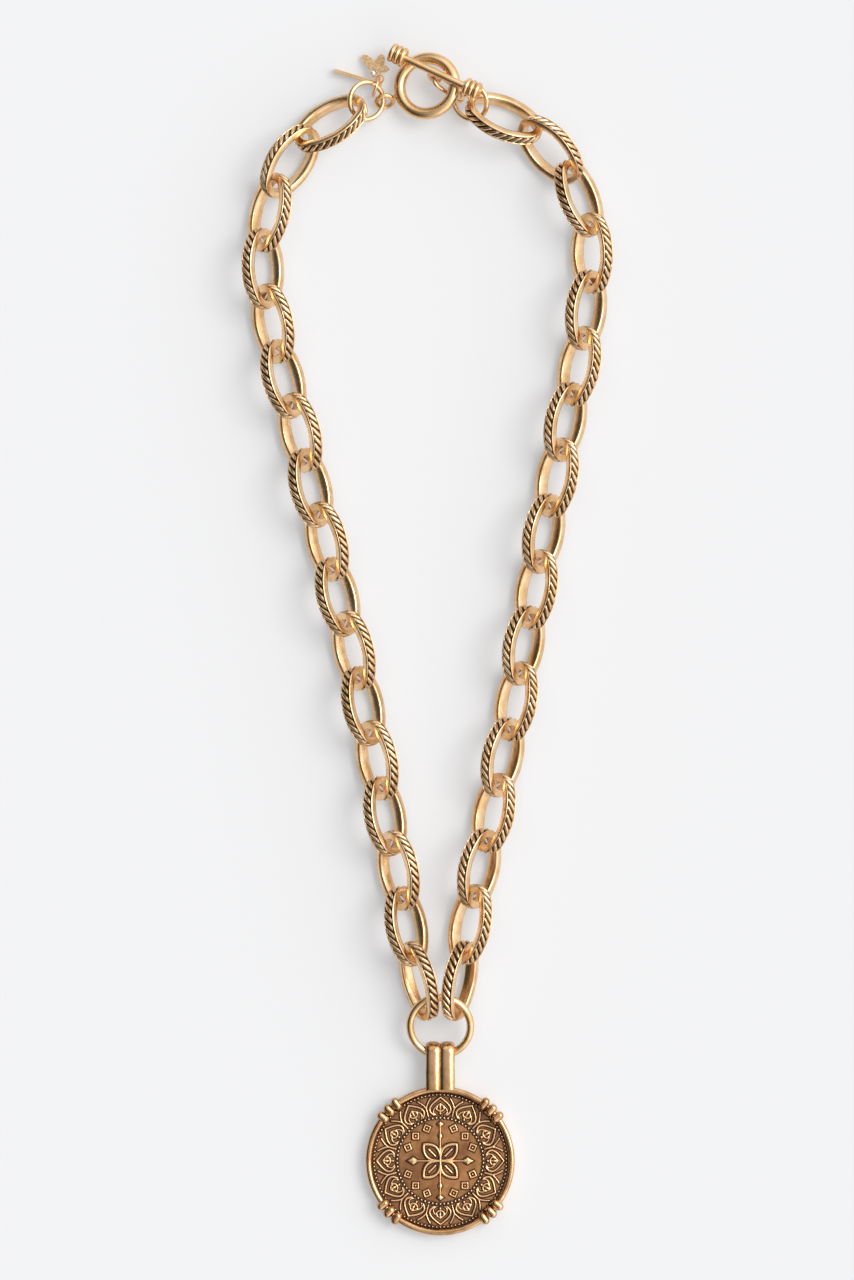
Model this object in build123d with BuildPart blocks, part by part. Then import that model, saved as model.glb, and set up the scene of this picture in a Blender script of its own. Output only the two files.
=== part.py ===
from build123d import *
import os
from math import atan2, cos, degrees, radians, sin

os.makedirs("parts", exist_ok=True)

# A medallion pendant on an oval-link chain, laid flat. Millimetres, +Z up, +Y towards the clasp.
# The origin is the centre of the medallion's flat back, which rests on the table with the chain.

# Bezel: a round cup that holds the medal
bezel_diameter = 32.8
bezel_height = 3.1
rim_width = 1.3
rim_round = 0.6
back_plate = 0.6
back_round = 0.6

# Wire wraps: groups of turns over the rim
wrap_wire = 1.8
wrap_groups = 4
wrap_turns = 3
wrap_pitch = 2.17
wrap_overhang = 0.95
wrap_reach = 0.7
wrap_lift = 0.12

# Bail: two half-round straps bent over the pendant ring
# strap_seat: a strap's widest line lies this far above its flat side
strap_width = 3.2
strap_pitch = 3.14
strap_thickness = 1.0
strap_seat = 0.3
bail_gap = 2.6
bail_length = 10.0
bail_base = 4.4
bail_lift = 0.68

# Medal and its raised relief
medal_thickness = 1.25
medal_clearance = 0.1
relief = 0.32
ridge = 0.36
rim_beads = 110
rim_bead = 0.52
rim_bead_inset = 0.42
field_beads = 70
field_bead = 0.6
field_radius = 9.5
arches = 12
arch_half_width = 2.3
arch_height = 3.9
arch_side = [(0.62, 0.0), (1.0, 0.36), (0.62, 0.7), (0.0, 1.0)]
arch_bud = 0.6
arch_flower = 0.32
fork_side = [(0.0, 0.45), (0.25, 0.72), (0.62, 0.95)]
shaft_length = 17.0
arm_length = 12.0
shaft_width = 0.5
petal_length = 5.0
petal_width = 2.3
ornament_radius = 7.7
ornament_size = 1.7

# Pendant ring
ring_wire = 1.7
ring_diameter = 15.0
ring_tilt = 15.8
ring_roll = -2.0
ring_bail_play = 1.2
ring_drop = 0.1

# Chain links: oval bands with a rope relief between two rims
links_per_side = 17
link_wall = 1.85
link_play = 1.9
link_width = 11.8
link_end_radius = 4.6
link_band = 2.7
link_round = 0.3
link_rim = 0.4
rope_depth = 0.32
rope_lumps = 26
rope_lump_length = 1.55
rope_lump_width = 1.05
rope_slant = 48.0
link_lean = 50.0
side_step = 0.3

# Links that lie otherwise than the rest: sideways step, turn and lean
odd_links = {"left": {1: (0.4, 0, 43.0), 2: (0, 0, 43.0), "last": (0, 3.5, 61.6)},
             "right": {1: (0.4, 0, 43.0), 2: (0, 0, 43.0), "last": (-0.41, -0.3, 62.7)}}

# Round jump rings at the strands' clasp ends: centre, heading they climb towards, tilt
jump_ring_wire = 1.1
jump_ring_radius = 4.1
jump_left_center = (-16.23, 233.34, 3.86)
jump_left_pose = (168.9, 27.6)
jump_right_center = (6.6, 233.3, 3.24)
jump_right_pose = (31.9, 32.4)

# Toggle ring with its eye
toggle_center = (-2.89, 236.61, 3.73)
toggle_pose = (-33.0, 16.44)
toggle_radius = 6.2
toggle_wire = 2.6
eye_radius = 1.85
eye_wire = 1.0
eye_neck = 1.2
eye_reach = 10.08
eye_angle = -128.7
eye_twist = 61.0

# Toggle bar with a coiled knob at each end and an eye under its middle
bar_center = (-1.17, 239.43, 6.6)
bar_pose = (-25.7, 10.3)
bar_roll = -28.0
bar_span = 18.3
bar_wire = 1.66
knob_diameter = 4.4
knob_coils = 3
knob_coil = 1.2
coil_overlap = 0.05
bar_eye_radius = 1.25
bar_eye_wire = 0.9
bar_eye_drop = 2.03

# Connector from the bar's eye to the right jump ring
connector_center = (1.77, 236.23, 3.01)
connector_pose = (-35.3, -24.9)
connector_roll = -41.7
connector_half = 2.76
connector_radius = 1.45
connector_wire = 1.0

# Charm ring with the tag bar and the charm on it
charm_ring_center = (-14.1, 236.35, 2.95)
charm_ring_heading = 70.0
charm_ring_radius = 2.1
charm_ring_wire = 0.6
tag_hole_angle = -62.9
tag_heading = 162.9
tag_length = 10.9
tag_height = 2.1
tag_thickness = 0.75
tag_hole = 1.45
tag_end = 0.95
charm_hole_angle = -4.0
charm_heading = 125.8
charm_climb = -19.0
charm_thickness = 0.9
charm_hole = 1.25
charm_boss = 1.05
charm_core = (2.2, -0.55)
charm_core_radius = 1.35
charm_lobes = [(4.5, 1.0, 7.0), (3.6, 0.95, -61.0), (2.9, 0.7, -124.0)]

# Cut crystal in the charm
crystal_diameter = 1.3
crystal_table = 0.75
crystal_culet = 0.13
crystal_crown = 0.26
crystal_girdle = 0.08
crystal_pavilion = 0.42
crystal_place = 1.75
crystal_clearance = 0.05

# The strands' routes on the table, from the first link's outer tip to the last one's
left_route = [(-16.0, 231.5), (-25.0, 228.3), (-33.0, 220.0), (-37.8, 208.5), (-38.2, 191.0),
              (-32.7, 166.5), (-26.7, 142.0), (-18.0, 106.5), (-10.7, 70.0), (-2.8, 31.0)]
right_route = [(5.4, 231.8), (14.2, 229.8), (24.0, 222.7), (31.0, 211.5), (33.0, 194.5),
               (29.2, 169.5), (22.0, 132.5), (15.3, 95.5), (7.6, 58.5), (2.3, 31.0)]


def posed_plane(origin, heading, climb=0, roll=0):
    """a plane whose x axis has a heading and a climb in degrees, rolled about that axis"""
    turn, rise, lean = radians(heading), radians(climb), radians(roll)
    forward = Vector(cos(turn) * cos(rise), sin(turn) * cos(rise), sin(rise))
    level = Vector(-sin(turn), cos(turn), 0)
    return Plane(origin=origin, x_dir=forward, z_dir=forward.cross(level) * cos(lean) - level * sin(lean))


def bent_rod(points, radius):
    """straight round runs with a ball at each point"""
    with BuildPart() as rod:
        with Locations(*points):
            Sphere(radius)
        for start, end in zip(points, points[1:]):
            run = Vector(*end) - Vector(*start)
            with BuildSketch(Plane(origin=start, z_dir=run)):
                Circle(radius)
            extrude(amount=run.length)
    return rod.part


def save(piece, name):
    piece.label = name
    export_step(piece, f"parts/{name}.step")
    print(name, round(piece.volume, 2))


# Bezel with its wraps and bail, soldered into one piece
bezel_radius = bezel_diameter / 2
pocket_radius = bezel_radius - rim_width
wrap_radius = wrap_wire / 2
wrap_out = bezel_radius + wrap_overhang - wrap_radius
wrap_in = pocket_radius - wrap_reach + wrap_radius
wrap_top = bezel_height + wrap_lift
wrap = bent_rod([(wrap_out, 0, wrap_radius), (wrap_out, 0, wrap_top), (wrap_in, 0, wrap_top)], wrap_radius)
wrap_step = degrees(wrap_pitch / bezel_radius)

bail_foot = bezel_radius - rim_width / 2
bail_bend = bezel_radius + bail_length - strap_thickness - bail_gap / 2
bail_height = bail_lift + strap_thickness + bail_gap / 2
leg_offset = (bail_gap + strap_thickness) / 2

with BuildPart() as strap:
    with BuildLine(Plane.YZ):
        front = Line((bail_foot, bail_height + leg_offset), (bail_bend, bail_height + leg_offset))
        tip = (bail_bend + leg_offset, bail_height)
        bend = ThreePointArc(front @ 1, tip, (bail_bend, bail_height - leg_offset))
        Line(bend @ 1, (bail_foot, bail_height - leg_offset))
    with BuildSketch(Plane(origin=front @ 0, x_dir=(1, 0, 0), z_dir=front % 0)) as section:
        with Locations((0, strap_thickness / 2 - strap_seat)):
            Ellipse(strap_width / 2, strap_thickness - strap_seat)
        Rectangle(strap_width, strap_thickness, mode=Mode.INTERSECT)
    sweep()
    with BuildSketch(Plane.XZ.offset(-bail_foot)):
        with Locations((0, bail_height)):
            Rectangle(strap_width, bail_gap + strap_thickness)
    extrude(amount=-bail_base)

with BuildPart() as bezel:
    with BuildSketch():
        Circle(bezel_radius)
    extrude(amount=bezel_height)
    with BuildSketch(Plane.XY.offset(back_plate)):
        Circle(pocket_radius)
    extrude(amount=bezel_height, mode=Mode.SUBTRACT)
    fillet(bezel.edges().group_by(Axis.Z)[-1], rim_round)
    fillet(bezel.edges().group_by(Axis.Z)[0], back_round)
    for turn in range(wrap_turns):
        first_angle = 180 / wrap_groups + (turn - (wrap_turns - 1) / 2) * wrap_step
        with PolarLocations(0, wrap_groups, start_angle=first_angle):
            add(wrap)
    with Locations((-strap_pitch / 2, 0, 0), (strap_pitch / 2, 0, 0)):
        add(strap.part)
save(bezel.part, "medallion_bezel")

# Medal: a disc with raised beads, arches, a long cross and petals
medal_radius = pocket_radius - medal_clearance
medal_back = back_plate + medal_clearance / 2
field_height = medal_back + medal_thickness
arch_foot = field_radius + field_bead

with BuildSketch() as arch:
    for side in (-1, 1):
        with BuildLine():
            Spline(*[(side * arch_half_width * across, arch_foot + arch_height * up)
                     for across, up in arch_side])
        trace(line_width=ridge)
    with Locations((0, arch_foot + arch_height * arch_bud)):
        Ellipse(ridge * 0.7, arch_height * 0.22)
    with Locations((0, arch_foot + ridge)):
        Circle(ridge)
    with Locations((0, arch_foot + arch_height * arch_flower)):
        Rectangle(arch_half_width * 0.84, ridge * 0.7)
        with GridLocations(arch_half_width * 0.84, 0, 2, 1):
            Circle(ridge * 0.8)

with BuildSketch() as fork:
    with BuildLine():
        Line((0, arch_foot), (0, arch_foot + arch_height * fork_side[0][1]))
    trace(line_width=ridge)
    for side in (-1, 1):
        with BuildLine():
            ThreePointArc(*[(side * arch_half_width * across, arch_foot + arch_height * up)
                            for across, up in fork_side])
        trace(line_width=ridge)

with BuildSketch() as petal:
    with BuildLine():
        petal_side = ThreePointArc((0, 0), (petal_width / 2, petal_length * 0.55), (0, petal_length))
        mirror(petal_side, about=Plane.YZ)
    make_face()
    offset(amount=-ridge, mode=Mode.SUBTRACT)

with BuildSketch() as ornament:
    RegularPolygon(ornament_size / 2, 4)
    Circle(ornament_size / 5, mode=Mode.SUBTRACT)

with BuildPart() as medal:
    with BuildSketch(Plane.XY.offset(medal_back)):
        Circle(medal_radius)
    extrude(amount=medal_thickness)
    with BuildSketch(Plane.XY.offset(field_height - medal_clearance)):
        Rectangle(shaft_width, shaft_length)
        Rectangle(arm_length, shaft_width)
        with PolarLocations(shaft_length * 0.3, 2, start_angle=90):
            RegularPolygon(shaft_width, 4)
        with PolarLocations(arm_length / 2, 2):
            RegularPolygon(shaft_width * 1.4, 4)
        with PolarLocations(0, 4, start_angle=45):
            add(petal.sketch)
        with PolarLocations(0, arches):
            add(arch.sketch)
        with PolarLocations(0, arches, start_angle=180 / arches):
            add(fork.sketch)
        for quarter in range(4):
            with PolarLocations(ornament_radius, 3, start_angle=90 * quarter + 22.5, angular_range=67.5):
                add(ornament.sketch)
    extrude(amount=relief + medal_clearance)
    with Locations((0, 0, field_height)):
        with PolarLocations(medal_radius - rim_bead_inset, rim_beads):
            Sphere(rim_bead / 2)
        with PolarLocations(field_radius, field_beads):
            Sphere(field_bead / 2)
save(medal.part, "medal")

# Chain link: an oval band whose outer face carries oblique lumps between two rims
left_strand = Spline(*left_route)
right_strand = Spline(*right_route)
strand_length = (left_strand.length + right_strand.length) / 2
link_pitch = (strand_length - 2 * link_wall - link_play) / links_per_side
link_length = link_pitch + 2 * link_wall + link_play


def oval(half_length, half_width, end_radius):
    """an oval of two end arcs and two side arcs that meet smoothly"""
    run = half_length - end_radius
    side_radius = (run ** 2 + half_width ** 2 - end_radius ** 2) / (2 * (half_width - end_radius))
    drop = side_radius - half_width
    reach = side_radius / (side_radius - end_radius)
    joint = (run * reach, drop * (reach - 1))
    with BuildLine() as outline:
        for end in (-1, 1):
            ThreePointArc((end * joint[0], -joint[1]), (end * half_length, 0), (end * joint[0], joint[1]))
            ThreePointArc((-joint[0], end * joint[1]), (0, end * half_width), (joint[0], end * joint[1]))
    return outline.wire()


def oval_ring(outer, inner, height):
    """the band between two ovals, of a height that is half above and half below the plane"""
    with BuildPart() as band:
        with BuildSketch():
            with BuildLine():
                add(outer)
            make_face()
            with BuildLine():
                add(inner)
            make_face(mode=Mode.SUBTRACT)
        extrude(amount=height / 2, both=True)
    return band.part


half_length = link_length / 2
half_width = link_width / 2
outside = oval(half_length, half_width, link_end_radius)
groove_floor = oval(half_length - rope_depth, half_width - rope_depth, link_end_radius - rope_depth)
inside = oval(half_length - link_wall, half_width - link_wall, link_end_radius - link_wall)

with BuildPart() as link:
    add(oval_ring(outside, inside, link_band))
    fillet(link.edges(), link_round)
    add(oval_ring(outside, groove_floor, link_band - 2 * link_rim), mode=Mode.SUBTRACT)
    lump_planes = []
    for lump in range(rope_lumps):
        place = (lump + 0.5) / rope_lumps
        point = outside @ place
        heading = outside % place
        outward = heading.cross(Vector(0, 0, 1))
        if outward.dot(point) < 0:
            outward = -outward
        lump_planes.append(Plane(origin=point - outward * rope_depth * 2, x_dir=heading, z_dir=outward))
    with BuildSketch(*lump_planes):
        Rectangle(rope_lump_length, rope_lump_width, rotation=rope_slant)
    extrude(amount=rope_depth * 2)

for side, strand, first_raised in (("left", left_strand, 1), ("right", right_strand, -1)):
    for number in range(1, links_per_side + 1):
        share = (link_length / 2 + (number - 1) * link_pitch) / strand_length
        rank = "last" if number == links_per_side else number
        step, turn, lean = odd_links[side].get(rank, (side_step, 0, link_lean))
        raised = first_raised * (-1) ** (number - 1)
        along = strand % share
        beside = Vector(0, 0, 1).cross(along) * raised * step
        heading = degrees(atan2(along.Y, along.X)) + turn
        with BuildPart(posed_plane(strand @ share + beside, heading, roll=raised * lean)) as leaned:
            add(link.part)
        with BuildPart() as placed:
            add(leaned.part.moved(Location((0, 0, -leaned.part.bounding_box().min.Z))))
        save(placed.part, f"link_{side}_{number:02}")

# Pendant ring, through the bail and both last links
ring_radius = (ring_diameter - ring_wire) / 2
wire_place = bail_bend + bail_gap / 2 - ring_bail_play - ring_wire / 2
ring_plane = posed_plane((0, wire_place, bail_height - ring_drop), 90, ring_tilt, ring_roll)
with BuildPart() as pendant_ring:
    with Locations(Plane(origin=ring_plane.origin + ring_plane.x_dir * ring_radius, z_dir=ring_plane.z_dir)):
        Torus(ring_radius, ring_wire / 2)
save(pendant_ring.part, "pendant_ring")

# Jump rings
with BuildPart() as jump_ring_left:
    with Locations(posed_plane(jump_left_center, *jump_left_pose)):
        Torus(jump_ring_radius, jump_ring_wire / 2)
save(jump_ring_left.part, "jump_ring_left")

with BuildPart() as jump_ring_right:
    with Locations(posed_plane(jump_right_center, *jump_right_pose)):
        Torus(jump_ring_radius, jump_ring_wire / 2)
save(jump_ring_right.part, "jump_ring_right")

# Toggle ring, with a short neck to an eye that is turned from the ring's plane
toggle_plane = posed_plane(toggle_center, *toggle_pose)
eye_way = toggle_plane.x_dir.rotate(Axis((0, 0, 0), toggle_plane.z_dir), eye_angle)
eye_side = toggle_plane.z_dir.cross(eye_way)
eye_normal = toggle_plane.z_dir * cos(radians(eye_twist)) + eye_side * sin(radians(eye_twist))
eye_center = toggle_plane.origin + eye_way * eye_reach
neck_start = toggle_plane.origin + eye_way * toggle_radius
neck_end = eye_center - eye_way * eye_radius
with BuildPart() as toggle_ring:
    with Locations(toggle_plane):
        Torus(toggle_radius, toggle_wire / 2)
    with BuildSketch(Plane(origin=neck_start, z_dir=eye_way)):
        Circle(eye_neck / 2)
    extrude(amount=(neck_end - neck_start).length)
    with Locations(Plane(origin=eye_center, z_dir=eye_normal)):
        Torus(eye_radius, eye_wire / 2)
save(toggle_ring.part, "toggle_ring")

# Toggle bar, turned about its own axis
bar_plane = posed_plane(bar_center, *bar_pose, bar_roll)
with BuildPart() as toggle_bar:
    with BuildSketch(bar_plane):
        Rectangle(bar_span, bar_wire)
        for end in (-1, 1):
            for coil in range(knob_coils):
                coil_place = end * bar_span / 2 + (coil - (knob_coils - 1) / 2) * knob_coil
                with Locations((coil_place, 0)):
                    SlotOverall(knob_diameter, knob_coil + coil_overlap, rotation=90)
        with Locations((0, -knob_diameter / 2)):
            Rectangle(bar_span * 2, knob_diameter, mode=Mode.SUBTRACT)
    revolve(axis=Axis(bar_plane.origin, bar_plane.x_dir))
    with Locations(Plane(origin=bar_plane.origin - bar_plane.z_dir * bar_eye_drop, z_dir=bar_plane.y_dir)):
        Torus(bar_eye_radius, bar_eye_wire / 2)
save(toggle_bar.part, "toggle_bar")

# Connector: a wire loop of two half circles and two straight runs
with BuildPart() as toggle_connector:
    with BuildLine(posed_plane(connector_center, *connector_pose, connector_roll)):
        near = Line((-connector_half, -connector_radius), (connector_half, -connector_radius))
        front_arc = ThreePointArc(near @ 1, (connector_half + connector_radius, 0),
                                  (connector_half, connector_radius))
        far = Line(front_arc @ 1, (-connector_half, connector_radius))
        ThreePointArc(far @ 1, (-connector_half - connector_radius, 0), near @ 0)
    with BuildSketch(Plane(origin=near @ 0, z_dir=near % 0)):
        Circle(connector_wire / 2)
    sweep()
save(toggle_connector.part, "toggle_connector")

# Charm ring, upright on the left jump ring
charm_ring_plane = posed_plane(charm_ring_center, charm_ring_heading, roll=90)
with BuildPart() as charm_ring:
    with Locations(charm_ring_plane):
        Torus(charm_ring_radius, charm_ring_wire / 2)
save(charm_ring.part, "charm_ring")


def on_charm_ring(angle):
    """the point of the charm ring's wire at an angle from its heading"""
    return (charm_ring_plane.origin + charm_ring_plane.x_dir * charm_ring_radius * cos(radians(angle))
            + charm_ring_plane.y_dir * charm_ring_radius * sin(radians(angle)))


# Tag bar: a plain plate on its edge, drilled near one end
tag_place = on_charm_ring(tag_hole_angle)
tag_plane = posed_plane(tag_place, tag_heading, roll=90)
with BuildPart() as tag_bar:
    with BuildSketch(tag_plane):
        with Locations((tag_length / 2 - tag_end, tag_height / 2 - tag_place.Z)):
            Rectangle(tag_length, tag_height)
        Circle(tag_hole / 2, mode=Mode.SUBTRACT)
    extrude(amount=tag_thickness / 2, both=True)
save(tag_bar.part, "tag_bar")

# Charm: a flat three-lobed leaf with a drilled end and a seat for the crystal
charm_plane = posed_plane(on_charm_ring(charm_hole_angle), charm_heading, charm_climb)
with BuildPart() as charm:
    with BuildSketch(charm_plane):
        Circle(charm_boss)
        with Locations(charm_core):
            Circle(charm_core_radius)
        with Locations((crystal_place, 0)):
            Circle(charm_boss)
        for lobe_length, lobe_half_width, angle in charm_lobes:
            with Locations(Pos(*charm_core) * Rot(0, 0, angle) * Pos(lobe_length / 2, 0)):
                Ellipse(lobe_length / 2, lobe_half_width)
    extrude(amount=charm_thickness / 2, both=True)
    with BuildSketch(charm_plane):
        Circle(charm_hole / 2)
    extrude(amount=charm_thickness, both=True, mode=Mode.SUBTRACT)
    with BuildSketch(charm_plane.offset(charm_thickness / 2)):
        with Locations((crystal_place, 0)):
            Circle(crystal_diameter / 2 + crystal_clearance)
    extrude(amount=-crystal_pavilion - crystal_clearance, mode=Mode.SUBTRACT)
save(charm.part, "charm")

# Crystal: eight crown facets and eight pavilion facets
crystal_plane = charm_plane.offset(charm_thickness / 2)
crystal_base = Plane(origin=crystal_plane.origin + crystal_plane.x_dir * crystal_place,
                     x_dir=crystal_plane.x_dir, z_dir=crystal_plane.z_dir)
with BuildPart() as charm_crystal:
    with BuildSketch(crystal_base.offset(-crystal_pavilion)):
        RegularPolygon(crystal_culet / 2, 8)
    with BuildSketch(crystal_base):
        RegularPolygon(crystal_diameter / 2, 8)
    loft()
    with BuildSketch(crystal_base):
        RegularPolygon(crystal_diameter / 2, 8)
    extrude(amount=crystal_girdle)
    with BuildSketch(crystal_base.offset(crystal_girdle)):
        RegularPolygon(crystal_diameter / 2, 8)
    with BuildSketch(crystal_base.offset(crystal_girdle + crystal_crown)):
        RegularPolygon(crystal_table / 2, 8)
    loft()
save(charm_crystal.part, "charm_crystal")
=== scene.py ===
import math
import bpy
import numpy as np
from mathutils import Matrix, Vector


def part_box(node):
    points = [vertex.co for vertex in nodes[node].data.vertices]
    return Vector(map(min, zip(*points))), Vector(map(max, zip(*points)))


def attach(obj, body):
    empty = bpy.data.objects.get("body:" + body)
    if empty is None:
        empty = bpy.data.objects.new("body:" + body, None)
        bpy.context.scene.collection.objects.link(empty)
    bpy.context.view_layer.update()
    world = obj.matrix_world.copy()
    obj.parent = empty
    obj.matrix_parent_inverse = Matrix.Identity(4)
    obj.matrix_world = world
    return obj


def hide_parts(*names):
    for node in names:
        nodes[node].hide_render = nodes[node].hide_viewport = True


# A medallion pendant on an oval-link chain, laid flat and seen from straight above
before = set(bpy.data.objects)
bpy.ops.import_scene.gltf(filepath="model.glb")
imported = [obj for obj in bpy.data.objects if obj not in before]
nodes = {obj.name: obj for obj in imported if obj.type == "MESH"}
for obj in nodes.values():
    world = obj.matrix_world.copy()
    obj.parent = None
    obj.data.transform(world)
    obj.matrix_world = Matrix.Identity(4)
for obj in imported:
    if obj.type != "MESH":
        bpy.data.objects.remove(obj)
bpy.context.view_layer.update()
mm = 0.001
print("frame loaded:", len(nodes), "nodes")

# Camera: a long lens over the table
overhead = {
    "centre": (-0.0029, 0.1147), "height": 2.0, "focusHeight": 0.004, "seenHeight": 0.2816, "sensor": 24.0,
}
cameraData = bpy.data.cameras.new("overhead")
cameraData.sensor_fit = "VERTICAL"
cameraData.sensor_height = overhead["sensor"]
cameraData.lens = overhead["sensor"] * (overhead["height"] - overhead["focusHeight"]) / overhead["seenHeight"]
cameraData.clip_end = 50.0
camera = bpy.data.objects.new("overhead", cameraData)
camera.location = (*overhead["centre"], overhead["height"])
bpy.context.scene.collection.objects.link(camera)
bpy.context.scene.camera = camera
bpy.context.scene.view_settings.view_transform = "Standard"

# Lights: a soft key from the right, a weak one from behind, and a sky that is dark on the left.
# Each side of the sky is a list of heights, from nadir 0 to zenith 1, and their levels
studio = {
    "key": {"strength": 1.75, "softness": 34, "azimuth": 22, "elevation": 53},
    "rear": {"strength": 0.25, "softness": 40, "azimuth": 110, "elevation": 45},
    "left": [(0.0, 0.12), (0.3, 0.05), (0.75, 0.08), (0.92, 0.5), (1.0, 0.7)],
    "right": [(0.0, 0.9), (0.25, 1.3), (0.55, 2.0), (0.8, 1.4), (1.0, 0.7)],
    "tint": (0.975, 0.985, 1.03), "turn": 0.6, "strength": 2.0,
}


def addSun(name, strength, softness, azimuth, elevation):
    data = bpy.data.lights.new(name, "SUN")
    data.energy = strength
    data.angle = math.radians(softness)
    sun = bpy.data.objects.new(name, data)
    sun.rotation_euler = (0, math.radians(90 - elevation), math.radians(azimuth))
    bpy.context.scene.collection.objects.link(sun)


addSun("key", **studio["key"])
addSun("rear", **studio["rear"])
print("camera and lights set")


# A socket that can be used in sums: each operator adds one Math node
class Signal:
    def __init__(self, finish, socket):
        self.finish = finish
        self.socket = socket

    def __add__(self, other):
        return self.finish.math("ADD", self, other)

    def __sub__(self, other):
        return self.finish.math("SUBTRACT", self, other)

    def __rsub__(self, other):
        return self.finish.math("SUBTRACT", other, self)

    def __mul__(self, other):
        return self.finish.math("MULTIPLY", self, other)

    __radd__ = __add__
    __rmul__ = __mul__


# A material, with one method that adds any node and a few short names for common ones
class Finish:
    def __init__(self, name, tree=None):
        if tree is None:
            self.material = bpy.data.materials.new(name)
            self.material.use_nodes = True
            tree = self.material.node_tree
        self.tree = tree
        self.tree.nodes.clear()

    def node(self, kind, settings=None, inputs=None):
        made = self.tree.nodes.new(kind)
        for key, value in (settings or {}).items():
            if key == "stops":
                ramp = made.color_ramp.elements
                while len(ramp) < len(value):
                    ramp.new(0.5)
                for stop, (place, colour) in zip(ramp, value):
                    stop.position = place
                    stop.color = colour
            else:
                setattr(made, key, value)
        for key, value in (inputs or {}).items():
            if isinstance(value, Signal):
                self.tree.links.new(value.socket, made.inputs[key])
            else:
                made.inputs[key].default_value = value
        return made

    def signal(self, made, output=0):
        return Signal(self, made.outputs[output])

    def math(self, operation, *values):
        return self.signal(self.node("ShaderNodeMath", {"operation": operation}, dict(enumerate(values))))

    def blend(self, share, first, second):
        made = self.node("ShaderNodeMix", {"data_type": "RGBA"}, {0: share, 6: first, 7: second})
        return self.signal(made, 2)

    def spread(self, value, low, high):
        made = self.node("ShaderNodeMapRange", {"interpolation_type": "SMOOTHSTEP"},
                         {"Value": value, "From Min": low, "From Max": high})
        return self.signal(made)

    def noise(self, scale, detail, roughness):
        return self.signal(self.node("ShaderNodeTexNoise", None, {
            "Vector": self.place(), "Scale": scale, "Detail": detail, "Roughness": roughness}))

    def place(self):
        return self.signal(self.node("ShaderNodeTexCoord"), "Object")

    def mark(self, name):
        return self.signal(self.node("ShaderNodeAttribute", {"attribute_name": name}), "Fac")

    # How closed in a point is, from ambient occlusion: goldFinish paints this as shade in the colour
    def recess(self, reach):
        settings = {"samples": 6, "only_local": True}
        return 1 - self.signal(self.node("ShaderNodeAmbientOcclusion", settings, {"Distance": reach}), "AO")

    def metal(self, colour, roughness, height, depth, metallic=1.0):
        bump = self.node("ShaderNodeBump", None, {"Height": height, "Distance": depth, "Strength": 1.0})
        shader = self.node("ShaderNodeBsdfPrincipled", None, {
            "Base Color": colour, "Metallic": metallic, "Roughness": roughness, "Normal": self.signal(bump)})
        self.node("ShaderNodeOutputMaterial", None, {"Surface": self.signal(shader)})


# Sky
world = bpy.data.worlds.new("studio")
world.use_nodes = True
bpy.context.scene.world = world
sky = Finish("studio", world.node_tree)
direction = sky.signal(sky.node("ShaderNodeTexCoord"), "Generated")
parts = sky.node("ShaderNodeSeparateXYZ", None, {0: direction})
height = sky.signal(parts, 2)


def skySide(levels):
    stops = [(at, (*[level / studio["strength"]] * 3, 1.0)) for at, level in levels]
    return sky.signal(sky.node("ShaderNodeValToRGB", {"stops": stops}, {0: height}))


rightShare = sky.spread(sky.signal(parts, 0), -studio["turn"], studio["turn"])
skyLevel = sky.blend(rightShare, skySide(studio["left"]), skySide(studio["right"]))
skyColour = sky.signal(sky.node("ShaderNodeMix", {"data_type": "RGBA", "blend_type": "MULTIPLY"},
                                {0: 1.0, 6: skyLevel, 7: (*studio["tint"], 1.0)}), 2)
background = sky.node("ShaderNodeBackground", None, {"Color": skyColour, "Strength": studio["strength"]})
sky.node("ShaderNodeOutputWorld", None, {"Surface": sky.signal(background)})

# Floor
floorLook = {"size": 6.0, "colour": (0.44, 0.44, 0.436, 1.0), "roughness": 0.9, "glow": 0.326}
floorMesh = bpy.data.meshes.new("floor")
reach = floorLook["size"] / 2
corners = [(-reach, -reach, 0), (reach, -reach, 0), (reach, reach, 0), (-reach, reach, 0)]
floorMesh.from_pydata(corners, [], [(0, 1, 2, 3)])
floor = bpy.data.objects.new("floor", floorMesh)
bpy.context.scene.collection.objects.link(floor)
paper = Finish("pale_paper")
paperShader = paper.node("ShaderNodeBsdfPrincipled", None, {
    "Base Color": floorLook["colour"], "Roughness": floorLook["roughness"], "Specular IOR Level": 0.1,
    "Emission Color": (1.0, 1.0, 1.0, 1.0), "Emission Strength": floorLook["glow"]})
paper.node("ShaderNodeOutputMaterial", None, {"Surface": paper.signal(paperShader)})
floorMesh.materials.append(paper.material)
print("sky and floor made")


# Finishes. A noise is its scale, detail and roughness, and edges are the values where a mask starts and ends
chainLook = {
    "bright": (0.90, 0.62, 0.365, 1.0), "deep": (0.70, 0.43, 0.185, 1.0),
    "patina": (0.032, 0.014, 0.005, 1.0),
    "cloud": (260.0, 4.0, 0.6), "cloudEdges": (0.35, 0.7), "cloudDirt": 0.25, "darkeningEdges": (0.28, 0.76),
    "wires": 3.0, "wireDirt": -0.06, "wireHeight": 0.7, "fine": (2600.0, 2.0, 0.6), "grain": 0.000008,
    "roughness": 0.16, "fineRoughness": 0.16, "dirtRoughness": 0.3, "dirtDullness": 0.6,
}
# In plate and bezel gold the patina colour, its edges and the recess reach also paint shade where ambient
# occlusion finds corners
plateLook = {
    "bright": (0.89, 0.60, 0.33, 1.0), "deep": (0.74, 0.45, 0.19, 1.0), "patina": (0.08, 0.036, 0.012, 1.0),
    "cloud": (220.0, 4.0, 0.6), "cloudEdges": (0.35, 0.7), "cloudDirt": 0.2, "darkeningEdges": (0.55, 1.0),
    "recess": 0.0007, "fine": (2400.0, 2.0, 0.6), "grain": 0.000001, "roughness": 0.20, "fineRoughness": 0.14,
}
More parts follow.
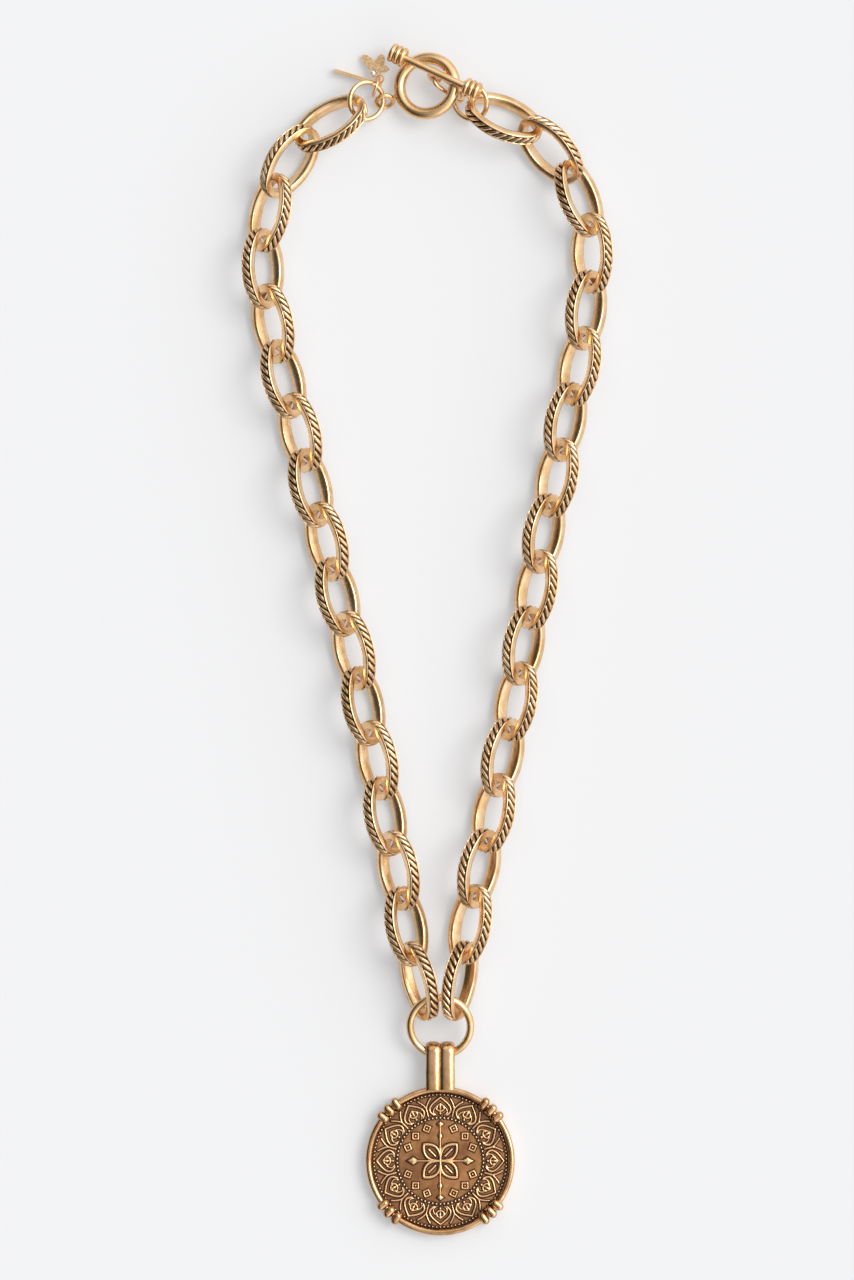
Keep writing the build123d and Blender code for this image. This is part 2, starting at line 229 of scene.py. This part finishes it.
bezelLook = {
    "bright": (0.72, 0.44, 0.225, 1.0), "deep": (0.47, 0.25, 0.10, 1.0), "patina": (0.04, 0.018, 0.006, 1.0),
    "cloud": (240.0, 4.0, 0.6), "cloudEdges": (0.35, 0.7), "cloudDirt": 0.2, "darkeningEdges": (0.5, 0.95),
    "recess": 0.0012, "fine": (2200.0, 2.0, 0.6), "grain": 0.000005, "roughness": 0.12, "fineRoughness": 0.16,
}
matteLook = {
    "bright": (0.84, 0.58, 0.32, 1.0), "deep": (0.62, 0.38, 0.17, 1.0), "metallic": 0.7,
    "speckle": (2200.0, 4.0, 0.7), "speckleEdges": (0.42, 0.6), "grain": 0.00004, "roughness": 0.32,
    "speckleRoughness": 0.2,
}
bronzeLook = {
    "raised": (0.86, 0.52, 0.26, 1.0), "field": (0.215, 0.088, 0.027, 1.0),
    "rubbed": (0.41, 0.185, 0.063, 1.0), "patina": (0.018, 0.008, 0.003, 1.0),
    "cloud": (300.0, 4.0, 0.6), "cloudWear": 0.35, "wearEdges": (0.35, 1.0), "patch": (130.0, 5.0, 0.65),
    "patchEdges": (0.38, 0.68), "cloudDirt": 0.3, "darkeningEdges": (0.25, 0.85), "fine": (2600.0, 3.0, 0.6),
    "grain": 0.00002, "roughness": 0.26, "fineRoughness": 0.2, "dirtRoughness": 0.2, "wearRoughness": -0.1,
    "fieldMetallic": 0.5,
}
crystalLook = {
    "Base Color": (0.95, 0.97, 1.0, 1.0), "Roughness": 0.02, "Transmission Weight": 1.0, "IOR": 1.55,
}


# Gold with a twisted wire's fine ridges on the rope, and patina in the gaps
def chainFinish(look):
    gold = Finish("chain_gold")
    cloud, fine = gold.noise(*look["cloud"]), gold.noise(*look["fine"])
    wires = gold.math("SINE", gold.mark("strand") * (2 * math.pi * look["wires"])) * gold.mark("rope")
    tone = gold.blend(gold.spread(cloud, *look["cloudEdges"]), look["bright"], look["deep"])
    darkening = gold.mark("pit") + wires * look["wireDirt"] + cloud * look["cloudDirt"]
    darkening = gold.spread(darkening, *look["darkeningEdges"])
    gold.metal(gold.blend(darkening, tone, look["patina"]),
               fine * look["fineRoughness"] + darkening * look["dirtRoughness"] + look["roughness"],
               fine + wires * look["wireHeight"], look["grain"], 1 - darkening * look["dirtDullness"])
    return gold


# Plain gold with patina and painted shade in its corners, where ambient occlusion finds the surface closed in
def goldFinish(name, look):
    gold = Finish(name)
    cloud, fine = gold.noise(*look["cloud"]), gold.noise(*look["fine"])
    # Painted shade: the patina colour goes where ambient occlusion finds the surface closed in, over a random
    # cloud of real patina
    darkening = gold.spread(gold.recess(look["recess"]) + cloud * look["cloudDirt"], *look["darkeningEdges"])
    tone = gold.blend(gold.spread(cloud, *look["cloudEdges"]), look["bright"], look["deep"])
    gold.metal(gold.blend(darkening, tone, look["patina"]), fine * look["fineRoughness"] + look["roughness"],
               fine, look["grain"])
    return gold


def matteFinish(look):
    gold = Finish("matte_gold")
    speckle = gold.noise(*look["speckle"])
    tone = gold.blend(gold.spread(speckle, *look["speckleEdges"]), look["bright"], look["deep"])
    gold.metal(tone, speckle * look["speckleRoughness"] + look["roughness"], speckle, look["grain"],
               look["metallic"])
    return gold


# Bronze with a dark field, rubbed ridges and patina at their feet
def bronzeFinish(look):
    bronze = Finish("antique_bronze")
    cloud, patch, fine = (bronze.noise(*look[key]) for key in ("cloud", "patch", "fine"))
    worn = bronze.spread(bronze.mark("rise") + cloud * look["cloudWear"], *look["wearEdges"])
    darkening = bronze.spread(bronze.mark("pit") + cloud * look["cloudDirt"], *look["darkeningEdges"])
    field = bronze.blend(bronze.spread(patch, *look["patchEdges"]), look["field"], look["rubbed"])
    rough = fine * look["fineRoughness"] + darkening * look["dirtRoughness"] + worn * look["wearRoughness"]
    bronze.metal(bronze.blend(darkening, bronze.blend(worn, field, look["raised"]), look["patina"]),
                 rough + look["roughness"], fine, look["grain"],
                 worn * (1 - look["fieldMetallic"]) + look["fieldMetallic"])
    return bronze


chainGold = chainFinish(chainLook)
plateGold = goldFinish("plate_gold", plateLook)
bezelGold = goldFinish("bezel_gold", bezelLook)
matteGold = matteFinish(matteLook)
antiqueBronze = bronzeFinish(bronzeLook)
crystal = Finish("cut_crystal")
crystalShader = crystal.node("ShaderNodeBsdfPrincipled", None, crystalLook)
crystal.node("ShaderNodeOutputMaterial", None, {"Surface": crystal.signal(crystalShader)})
print("finishes made")


def addPiece(name, points, faces, finish, replaced, marks=None):
    mesh = bpy.data.meshes.new(name)
    mesh.from_pydata(points.tolist(), [], faces)
    mesh.polygons.foreach_set("use_smooth", [True] * len(mesh.polygons))
    for key, values in (marks or {}).items():
        attribute = mesh.attributes.new(key, "FLOAT", "POINT")
        attribute.data.foreach_set("value", np.asarray(values, np.float32).ravel())
    mesh.materials.append(finish.material)
    mesh.update()
    piece = bpy.data.objects.new(name, mesh)
    bpy.context.scene.collection.objects.link(piece)
    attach(piece, "root")
    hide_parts(replaced)
    return piece


# Four-cornered faces of a grid whose columns, and mostly its rows too, close on themselves
def gridFaces(rows, columns, wrapRows=True):
    row = np.arange(rows if wrapRows else rows - 1)[:, None]
    column = np.arange(columns)[None, :]
    nextRow = (row + 1) % rows
    nextColumn = (column + 1) % columns
    corners = ((row, column), (nextRow, column), (nextRow, nextColumn), (row, nextColumn))
    return np.stack([a * columns + b for a, b in corners], -1).reshape(-1, 4).tolist()


# Where a solid node lies: its centre, and its long, wide and flat ways, from its volume's moments
def solidPose(name):
    mesh = nodes[name].data
    points = np.zeros(len(mesh.vertices) * 3)
    mesh.vertices.foreach_get("co", points)
    points = points.reshape(-1, 3)
    mesh.calc_loop_triangles()
    corners = np.zeros(len(mesh.loop_triangles) * 3, np.int32)
    mesh.loop_triangles.foreach_get("vertices", corners)
    start = points.mean(0)
    a, b, c = ((points - start)[corners.reshape(-1, 3)[:, k]] for k in range(3))
    share = np.einsum("ij,ij->i", a, np.cross(b, c)) / 6
    volume = share.sum()
    total = a + b + c
    centre = (share[:, None] * total).sum(0) / 4 / volume
    spreadOut = sum(np.einsum("i,ij,ik->jk", share, p, p) for p in (a, b, c, total)) / 20 / volume
    spreadOut -= np.outer(centre, centre)
    ways = np.linalg.eigh(spreadOut)[1]
    long, wide = ways[:, 2], ways[:, 1]
    flat = np.cross(long, wide)
    reach = [np.ptp(points @ way) for way in (long, wide, flat)]
    return centre + start, (long, wide, flat), reach


# Chain links: an oval band with a twisted rope between two thin rims.
# Its edge is a list of insets from the band's edge and depths below the outer face
linkShape = {
    "count": 17, "endRadius": 4.6, "band": 2.7, "rim": 0.3, "innerDepth": 1.8,
    "edge": [(0.25, 0.32), (0.15, 0.24), (0.05, 0.33), (0.01, 0.52), (0.0, 1.025), (0.03, 1.45), (0.1, 1.75),
             (0.34, 1.85)],
    "lumps": 26, "stations": 12, "ropePoints": 10, "groove": 0.8, "curl": 1.15, "bend": 0.95,
    "lumpShare": 0.84, "lumpPower": 2.0, "rimFall": 0.8, "rimPower": 4,
}


def ovalPath(halfLength, halfWidth, endRadius, count):
    run = halfLength - endRadius
    sideRadius = (run ** 2 + halfWidth ** 2 - endRadius ** 2) / (2 * (halfWidth - endRadius))
    drop = sideRadius - halfWidth
    joint = math.atan2(drop, run)
    arcs = [((run, 0), endRadius, -joint, joint), ((0, -drop), sideRadius, joint, math.pi - joint),
            ((-run, 0), endRadius, math.pi - joint, math.pi + joint),
            ((0, drop), sideRadius, math.pi + joint, 2 * math.pi - joint)]
    lengths = np.array([radius * (end - start) for _, radius, start, end in arcs])
    places = np.arange(count) / count * lengths.sum()
    points, outward = np.zeros((count, 2)), np.zeros((count, 2))
    before = 0.0
    for (middle, radius, start, end), length in zip(arcs, lengths):
        inArc = (places >= before) & (places < before + length)
        angle = start + (places[inArc] - before) / radius
        outward[inArc] = np.stack([np.cos(angle), np.sin(angle)], 1)
        points[inArc] = np.array(middle) + radius * outward[inArc]
        before += length
    return points, outward


# The band's section: the places across it of the rope's points, and the axial place and depth of the others
def linkSection(shape):
    half = shape["band"] / 2
    across = np.linspace(-1, 1, shape["ropePoints"])
    side = [(half - inset, depth) for inset, depth in shape["edge"]]
    otherSide = [(-axial, depth) for axial, depth in reversed(side)]
    plain = np.array([*side, (0.0, shape["innerDepth"]), *otherSide])
    return across, np.concatenate([across * (half - shape["rim"]), plain[:, 0]]), plain[:, 1]


# Each link's length, width and place come from its solid
def makeLinks(shape):
    across, axial, plainDepth = linkSection(shape)
    ropeCount = len(across)
    stations = shape["lumps"] * shape["stations"]
    phase = np.arange(stations)[:, None] / shape["stations"]
    twist = shape["curl"] * np.arcsin(across[None, :] * shape["bend"])
    rimFall = shape["rimFall"] * np.abs(across) ** shape["rimPower"]
    for side in ("left", "right"):
        for number in range(shape["count"]):
            name = f"link_{side}_{number + 1:02}"
            centre, (long, wide, flat), reach = solidPose(name)
            path, outward = ovalPath(reach[0] / 2 / mm, reach[1] / 2 / mm, shape["endRadius"], stations)
            pitch = np.linalg.norm(np.diff(path, axis=0), axis=1).sum() / shape["lumps"]
            along = phase - twist / pitch
            offset = 2 * (along - np.floor(along)) - 1
            fall = np.abs(offset / shape["lumpShare"]) ** shape["lumpPower"] + rimFall
            lump = np.sqrt(np.clip(1 - fall, 0, None))
            pit, rope, strand = np.zeros((3, stations, len(axial)))
            pit[:, :ropeCount] = 1 - lump
            rope[:, :ropeCount] = 1
            strand[:, :ropeCount] = (offset + 1) / 2
            depth = shape["groove"] * pit
            depth[:, ropeCount:] = plainDepth
            place = path[:, None, :] - outward[:, None, :] * depth[:, :, None]
            points = place[..., :1] * long + place[..., 1:] * wide + axial[None, :, None] * flat
            addPiece(name + "_band", (centre + points * mm).reshape(-1, 3), gridFaces(stations, len(axial)),
                     chainGold, name, {"pit": pit, "rope": rope, "strand": strand})


makeLinks(linkShape)
print("chain links made")


# Medal: a low relief, worked out as a height at each point of a disc.
# Lines are lists of corners, across and along their ornament as shares of its half width and height.
# A tip is a place along the cross, with its half width and half length
medalShape = {
    "spokes": 660, "rings": 124, "thickness": 1.25, "edgeRound": 0.12, "edgeWidth": 0.15, "fullRise": 0.3,
    "rimBeads": {"count": 110, "inset": 0.42, "size": 0.27},
    "fieldBeads": {"count": 70, "radius": 9.5, "size": 0.31},
    "arch": {"count": 12, "foot": 10.1, "halfWidth": 2.3, "height": 3.9, "ridge": 0.27, "rise": 0.4,
             "side": [(0.62, 0.0), (1.0, 0.36), (0.62, 0.7), (0.0, 1.0)], "inner": 0.66, "innerRidge": 0.17,
             "innerRise": 0.32},
    "bud": {"middle": 1.84, "halfWidth": 0.3, "halfHeight": 0.85, "rise": 0.4},
    "leaf": {"line": [(0.0, 0.24), (0.24, 0.27), (0.37, 0.37), (0.27, 0.45)], "ridge": 0.2, "rise": 0.36},
    "foot": {"place": 0.36, "size": 0.36, "rise": 0.4},
    "band": {"place": 0.85, "halfWidth": 0.42, "ridge": 0.14, "rise": 0.32},
    "fork": {"stem": 0.45, "arm": [(0.0, 0.45), (0.25, 0.72), (0.62, 0.95)], "ridge": 0.22, "rise": 0.32},
    "shaft": {"length": 8.5, "ridge": 0.33, "taper": 0.35, "rise": 0.45,
              "tips": [(5.5, 0.63, 1.36), (8.1, 0.95, 0.79)]},
    "arm": {"length": 6.0, "ridge": 0.33, "taper": 0.35, "rise": 0.45, "tips": [(6.0, 0.96, 1.56)]},
    "petal": {"halfWidth": 1.45, "length": 5.1, "line": [(0.0, 0.0), (1.0, 0.58), (0.0, 1.0)], "ridge": 0.38,
              "rise": 0.45, "vein": [(0.0, 0.3), (0.0, 0.7)], "veinRidge": 0.3, "veinRise": 0.32},
    "diamond": {"radius": 7.7, "gap": math.pi / 8, "size": 1.2, "line": 0.72, "ridge": 0.28, "rise": 0.4,
                "stud": 0.29, "studRise": 0.32},
    "waveHeight": 0.012, "waves": [(1.9, 0.7, 0.3), (-0.8, 2.3, 1.1), (2.9, -1.7, 2.0), (0.5, 3.7, 4.2)],
    "flank": 0.7, "footReach": 0.2,
}


# The relief so far: its height, and how near each point lies to a foot of it
class Relief:
    def __init__(self, x, y, shape):
        self.x, self.y = x, y
        self.height, self.near = np.zeros((2, *x.shape))
        self.flank, self.footReach = shape["flank"], shape["footReach"]

    def lift(self, distance, halfWidth, rise):
        dome = rise * np.clip(1 - (distance / halfWidth) ** 2, 0, 1) ** self.flank
        self.height = np.maximum(self.height, dome)
        self.near = np.maximum(self.near, np.exp(-np.clip(distance - halfWidth, 0, None) / self.footReach))

    # Each point's place across and along the axis of the nearest of count equal sectors
    def sector(self, count, turn=0.0):
        step = 2 * math.pi / count
        angle = (np.arctan2(self.x, self.y) - turn + step / 2) % step - step / 2
        radius = np.hypot(self.x, self.y)
        return np.abs(radius * np.sin(angle)), radius * np.cos(angle)


# A smooth line through a few corners, and how far each point lies from a line
def smoothLine(corners, halfWidth, height, count=24):
    corners = np.array(corners, float) * (halfWidth, height)
    travel = np.concatenate([[0], np.cumsum(np.linalg.norm(np.diff(corners, axis=0), axis=1))])
    steps = np.linspace(0, travel[-1], count)
    curves = (np.polyfit(travel, values, len(corners) - 1) for values in corners.T)
    return np.stack([np.polyval(curve, steps) for curve in curves], 1)


def lineDistance(x, y, line):
    nearest = np.full(x.shape, np.inf)
    for start, end in zip(line[:-1], line[1:]):
        way = end - start
        share = np.clip(((x - start[0]) * way[0] + (y - start[1]) * way[1]) / (way @ way), 0, 1)
        nearest = np.minimum(nearest, np.hypot(x - start[0] - share * way[0], y - start[1] - share * way[1]))
    return nearest


def addBeads(relief, radius, shape):
    for beads, place in ((shape["rimBeads"], radius - shape["rimBeads"]["inset"]),
                         (shape["fieldBeads"], shape["fieldBeads"]["radius"])):
        across, along = relief.sector(beads["count"])
        relief.lift(np.hypot(across, along - place), beads["size"], beads["size"])


# The border: arches, each with a bud on a banded foot and two leaves, and forks between them
def addBorder(relief, shape):
    arch, bud, leaf, foot, band, fork = (shape[k] for k in ("arch", "bud", "leaf", "foot", "band", "fork"))
    size = (arch["halfWidth"], arch["height"])
    across, along = relief.sector(arch["count"])
    up = along - arch["foot"]
    side = smoothLine(arch["side"], *size)
    relief.lift(lineDistance(across, up, side), arch["ridge"], arch["rise"])
    relief.lift(lineDistance(across, up, side * arch["inner"]), arch["innerRidge"], arch["innerRise"])
    egg = np.hypot(across / bud["halfWidth"], (up - bud["middle"]) / bud["halfHeight"])
    relief.lift(egg, 1.0, bud["rise"])
    relief.lift(lineDistance(across, up, smoothLine(leaf["line"], *size)), leaf["ridge"], leaf["rise"])
    relief.lift(np.hypot(across, up - foot["place"]), foot["size"], foot["rise"])
    bar = np.maximum(across - band["halfWidth"], 0) + np.abs(up - band["place"])
    relief.lift(bar, band["ridge"], band["rise"])
    across, along = relief.sector(arch["count"], math.pi / arch["count"])
    up = along - arch["foot"]
    for line in (smoothLine([(0, 0), (0, fork["stem"])], *size), smoothLine(fork["arm"], *size)):
        relief.lift(lineDistance(across, up, line), fork["ridge"], fork["rise"])


# The middle: a long cross with pointed ends, four petals and a ring of small diamonds
def addMiddle(relief, shape):
    shaft, arm, petal, diamond = (shape[k] for k in ("shaft", "arm", "petal", "diamond"))
    x, y = np.abs(relief.x), np.abs(relief.y)
    for part, across, along in ((shaft, x, y), (arm, y, x)):
        ridge = part["ridge"] * (1 - part["taper"] * np.clip(along / part["length"], 0, 1))
        relief.lift(np.hypot(across, np.maximum(along - part["length"], 0)) / ridge, 1.0, part["rise"])
        for place, halfWidth, halfLength in part["tips"]:
            relief.lift(across / halfWidth + np.abs(along - place) / halfLength, 1.0, part["rise"])
    across, along = relief.sector(4, math.pi / 4)
    size = (petal["halfWidth"], petal["length"])
    relief.lift(lineDistance(across, along, smoothLine(petal["line"], *size)), petal["ridge"], petal["rise"])
    vein = smoothLine(petal["vein"], *size)
    relief.lift(lineDistance(across, along, vein), petal["veinRidge"], petal["veinRise"])
    angle = np.arctan2(relief.x, relief.y) % (math.pi / 2)
    across = diamond["radius"] * (angle - np.clip(np.round(angle / diamond["gap"]), 1, 3) * diamond["gap"])
    along = np.hypot(relief.x, relief.y) - diamond["radius"]
    edge = np.abs((np.abs(across) + np.abs(along)) / diamond["size"] - diamond["line"])
    relief.lift(edge, diamond["ridge"], diamond["rise"])
    relief.lift(np.hypot(across, along), diamond["stud"], diamond["studRise"])


def makeMedal(shape):
    low, high = (np.array(corner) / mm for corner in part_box("medal"))
    middle, radius = (low + high) / 2, (high[0] - low[0]) / 2
    rings, spokes = shape["rings"], shape["spokes"]
    distance = radius * np.arange(1, rings + 1)[:, None] / rings
    angle = 2 * math.pi * np.arange(spokes)[None, :] / spokes
    x, y = distance * np.cos(angle), distance * np.sin(angle)
    relief = Relief(x, y, shape)
    addBeads(relief, radius, shape)
    addBorder(relief, shape)
    addMiddle(relief, shape)
    waves = shape["waveHeight"] * sum(np.sin(x * a + y * b + c) for a, b, c in shape["waves"])
    edge = shape["edgeRound"] * np.clip((distance - radius) / shape["edgeWidth"] + 1, 0, 1) ** 2
    height = low[2] + shape["thickness"] + relief.height + waves * (1 - relief.near) - edge
    face = np.stack([x, y, height], -1).reshape(-1, 3)
    back = np.stack([x[-1], y[-1], np.full(spokes, low[2])], -1)
    points = np.concatenate([face, back, [(0, 0, height[0].mean())]]) + (middle[0], middle[1], 0)
    faces = gridFaces(rings + 1, spokes, wrapRows=False)
    faces += [(len(points) - 1, k, (k + 1) % spokes) for k in range(spokes)]
    faces.append(list(range(rings * spokes, (rings + 1) * spokes))[::-1])
    share = relief.height / shape["fullRise"]
    rise = np.concatenate([share.ravel(), np.zeros(spokes), [1.0]])
    pit = np.concatenate([(relief.near * (1 - share)).ravel(), np.zeros(spokes), [0.0]])
    piece = addPiece("medal_face", points * mm, faces, antiqueBronze, "medal",
                     {"rise": rise, "pit": pit})
    piece.data.polygons[len(faces) - 1].use_smooth = False


makeMedal(medalShape)
print("medal made")


# Nodes that keep their own form
for name, finish in {"medallion_bezel": bezelGold, "pendant_ring": plateGold, "jump_ring_left": plateGold,
                     "jump_ring_right": plateGold, "toggle_ring": plateGold, "toggle_bar": plateGold,
                     "toggle_connector": plateGold, "charm_ring": plateGold, "tag_bar": plateGold,
                     "charm": matteGold, "charm_crystal": crystal}.items():
    mesh = nodes[name].data
    mesh.materials.clear()
    mesh.materials.append(finish.material)
print("node finishes set")
